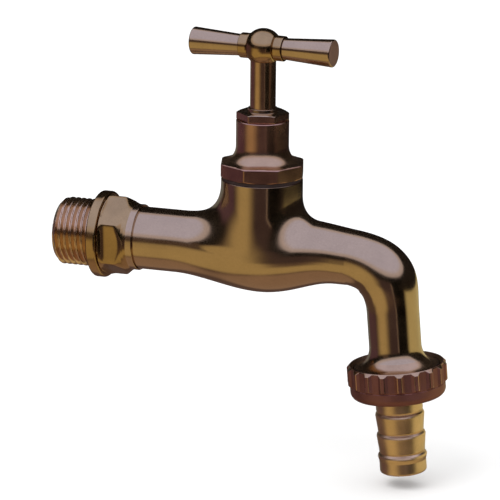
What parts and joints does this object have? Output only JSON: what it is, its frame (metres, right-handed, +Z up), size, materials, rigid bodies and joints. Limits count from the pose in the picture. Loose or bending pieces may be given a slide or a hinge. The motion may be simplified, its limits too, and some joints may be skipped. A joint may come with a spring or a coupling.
{
  "type": "hose bib",
  "caption": "Screw-down garden tap with a T-bar handle, threaded pipe inlet, curved spout and a barbed hose union.",
  "frame": {"origin": "on the inlet axis, at the face of the shoulder where the inlet thread ends", "axes": "+X along the pipe from the inlet towards the spout, +Z up along the spindle"},
  "size_m": [0.1246, 0.0306, 0.1345],
  "materials": {
    "cast_bronze": "polished bronze casting under a dark lacquer",
    "turned_bronze": "turned bronze, satin, dark lacquered",
    "dark_bronze": "matt dark bronze",
    "inner_brass": "plain machined brass, out of sight",
    "fibre": "red vulcanised fibre",
    "rubber": "black moulded rubber",
    "graphite": "graphited square packing"
  },
  "bodies": {
    "housing": {"tap_body": "cast_bronze", "bonnet_gasket": "fibre", "bonnet": "turned_bronze", "packing_washer": "inner_brass", "packing_ring_lower": "graphite", "packing_ring_middle": "graphite", "packing_ring_upper": "graphite", "gland_follower": "inner_brass", "gland_nut": "turned_bronze"},
    "valve": {"jumper": "inner_brass", "valve_washer": "rubber", "washer_nut": "inner_brass"},
    "handle": {"spindle": "turned_bronze", "handle_hub": "cast_bronze", "handle_arm_left": "cast_bronze", "handle_arm_right": "cast_bronze"},
    "carriage": {"union_washer": "fibre"},
    "coupling_nut": {"union_nut": "dark_bronze"},
    "tail": {"hose_tail": "cast_bronze"}
  },
  "joints": [
    {"name": "valve_lift", "type": "slide", "parent": "housing", "child": "valve", "axis": [0, 0, 1], "range_m": [0, 0.0055]},
    {"name": "handle_turn", "type": "hinge", "parent": "valve", "child": "handle", "pos_m": [0.0527, 0, 0.0627], "axis": [0, 0, 1], "range_deg": [0, 990]},
    {"name": "union_drop", "type": "slide", "parent": "housing", "child": "carriage", "axis": [0.0872, 0, -0.9962], "range_m": [0, 0.00363]},
    {"name": "union_nut_turn", "type": "hinge", "parent": "carriage", "child": "coupling_nut", "pos_m": [0.09684, 0, -0.03648], "axis": [0.0872, 0, -0.9962], "range_deg": [0, 720]},
    {"name": "hose_tail_swivel", "type": "hinge", "parent": "carriage", "child": "tail", "pos_m": [0.09814, 0, -0.05142], "axis": [0.0872, 0, -0.9962], "continuous": true}
  ],
  "couplings": [
    {"joint": "handle_turn", "follows": "valve_lift", "rad_per_m": 3141.6},
    {"joint": "union_nut_turn", "follows": "union_drop", "rad_per_m": 3463.7}
  ]
}
